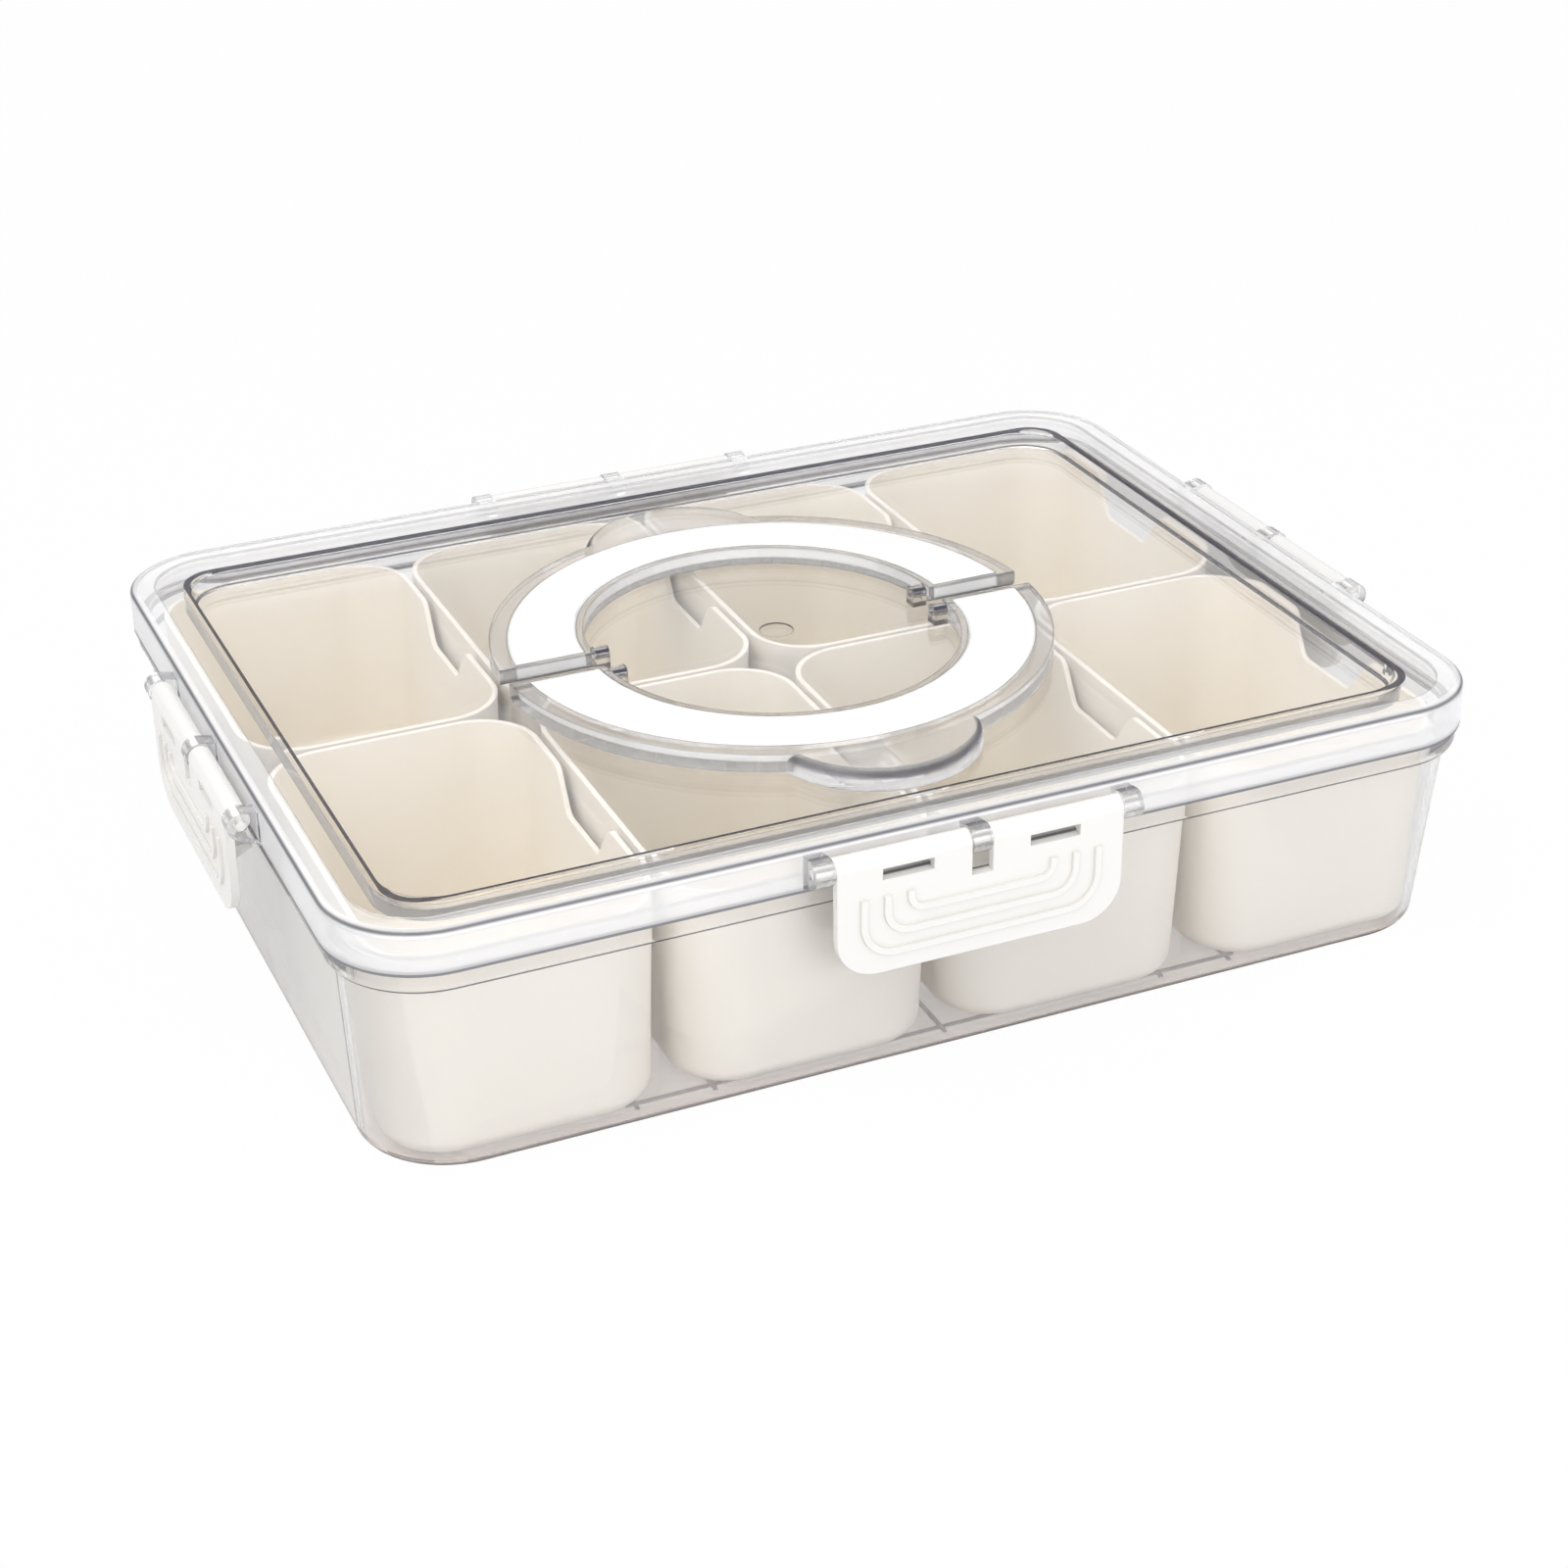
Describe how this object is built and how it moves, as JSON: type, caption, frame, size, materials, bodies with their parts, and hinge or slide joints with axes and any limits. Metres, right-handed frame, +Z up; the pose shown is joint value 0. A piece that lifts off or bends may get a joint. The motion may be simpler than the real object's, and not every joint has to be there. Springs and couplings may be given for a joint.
{
  "type": "divided serving tray with lid",
  "caption": "Clear rectangular serving tray with lift-out cream bins under a latched lift-off lid that has a folding ring handle.",
  "frame": {"origin": "on the table under the middle of the tray", "axes": "+Z up, X along the long side, the front side faces -Y"},
  "size_m": [0.3482, 0.2718, 0.0745],
  "materials": {
    "clear_shell": "clear, polished",
    "clear_handle": "clear, polished",
    "bin_cream": "satin",
    "grip_white": "smooth",
    "latch_white": "smooth"
  },
  "bodies": {
    "base": {"base_tray": "clear_shell"},
    "lid": {"lid": "clear_shell"},
    "bin_front_1": {"bin_front_1": "bin_cream"},
    "bin_front_2": {"bin_front_2": "bin_cream"},
    "bin_front_3": {"bin_front_3": "bin_cream"},
    "bin_front_4": {"bin_front_4": "bin_cream"},
    "bin_back_1": {"bin_back_1": "bin_cream"},
    "bin_back_2": {"bin_back_2": "bin_cream"},
    "bin_back_3": {"bin_back_3": "bin_cream"},
    "bin_back_4": {"bin_back_4": "bin_cream"},
    "handle_front": {"handle_front_frame": "clear_handle", "handle_front_grip": "grip_white"},
    "handle_back": {"handle_back_frame": "clear_handle", "handle_back_grip": "grip_white"},
    "latch_front": {"latch_front": "latch_white"},
    "latch_back": {"latch_back": "latch_white"},
    "latch_left": {"latch_left": "latch_white"},
    "latch_right": {"latch_right": "latch_white"}
  },
  "joints": [
    {"name": "lid_lift", "type": "slide", "parent": "base", "child": "lid", "axis": [0, 0, 1], "range_m": [0, 0.12]},
    {"name": "bin_front_1_lift", "type": "slide", "parent": "base", "child": "bin_front_1", "axis": [0, 0, 1], "range_m": [0, 0.066]},
    {"name": "bin_front_2_lift", "type": "slide", "parent": "base", "child": "bin_front_2", "axis": [0, 0, 1], "range_m": [0, 0.066]},
    {"name": "bin_front_3_lift", "type": "slide", "parent": "base", "child": "bin_front_3", "axis": [0, 0, 1], "range_m": [0, 0.066]},
    {"name": "bin_front_4_lift", "type": "slide", "parent": "base", "child": "bin_front_4", "axis": [0, 0, 1], "range_m": [0, 0.066]},
    {"name": "bin_back_1_lift", "type": "slide", "parent": "base", "child": "bin_back_1", "axis": [0, 0, 1], "range_m": [0, 0.066]},
    {"name": "bin_back_2_lift", "type": "slide", "parent": "base", "child": "bin_back_2", "axis": [0, 0, 1], "range_m": [0, 0.066]},
    {"name": "bin_back_3_lift", "type": "slide", "parent": "base", "child": "bin_back_3", "axis": [0, 0, 1], "range_m": [0, 0.066]},
    {"name": "bin_back_4_lift", "type": "slide", "parent": "base", "child": "bin_back_4", "axis": [0, 0, 1], "range_m": [0, 0.066]},
    {"name": "latch_front_hinge", "type": "hinge", "parent": "lid", "child": "latch_front", "pos_m": [0, -0.1318, 0.0697], "axis": [-1, 0, 0], "range_deg": [0, 150]},
    {"name": "latch_back_hinge", "type": "hinge", "parent": "lid", "child": "latch_back", "pos_m": [0, 0.1318, 0.0697], "axis": [1, 0, 0], "range_deg": [0, 150]},
    {"name": "latch_left_hinge", "type": "hinge", "parent": "lid", "child": "latch_left", "pos_m": [-0.17, 0, 0.0697], "axis": [0, 1, 0], "range_deg": [0, 150]},
    {"name": "latch_right_hinge", "type": "hinge", "parent": "lid", "child": "latch_right", "pos_m": [0.17, 0, 0.0697], "axis": [0, -1, 0], "range_deg": [0, 150]},
    {"name": "handle_front_hinge", "type": "hinge", "parent": "lid", "child": "handle_front", "pos_m": [0, -0.0072, 0.0722], "axis": [-1, 0, 0], "range_deg": [0, 90]},
    {"name": "handle_back_hinge", "type": "hinge", "parent": "lid", "child": "handle_back", "pos_m": [0, 0.0072, 0.0722], "axis": [1, 0, 0], "range_deg": [0, 90]}
  ],
  "couplings": [
    {"joint": "bin_front_1_lift", "follows": "lid_lift", "ratio": 0.55},
    {"joint": "bin_front_2_lift", "follows": "lid_lift", "ratio": 0.55},
    {"joint": "bin_front_3_lift", "follows": "lid_lift", "ratio": 0.55},
    {"joint": "bin_front_4_lift", "follows": "lid_lift", "ratio": 0.55},
    {"joint": "bin_back_1_lift", "follows": "lid_lift", "ratio": 0.55},
    {"joint": "bin_back_2_lift", "follows": "lid_lift", "ratio": 0.55},
    {"joint": "bin_back_3_lift", "follows": "lid_lift", "ratio": 0.55},
    {"joint": "bin_back_4_lift", "follows": "lid_lift", "ratio": 0.55}
  ]
}
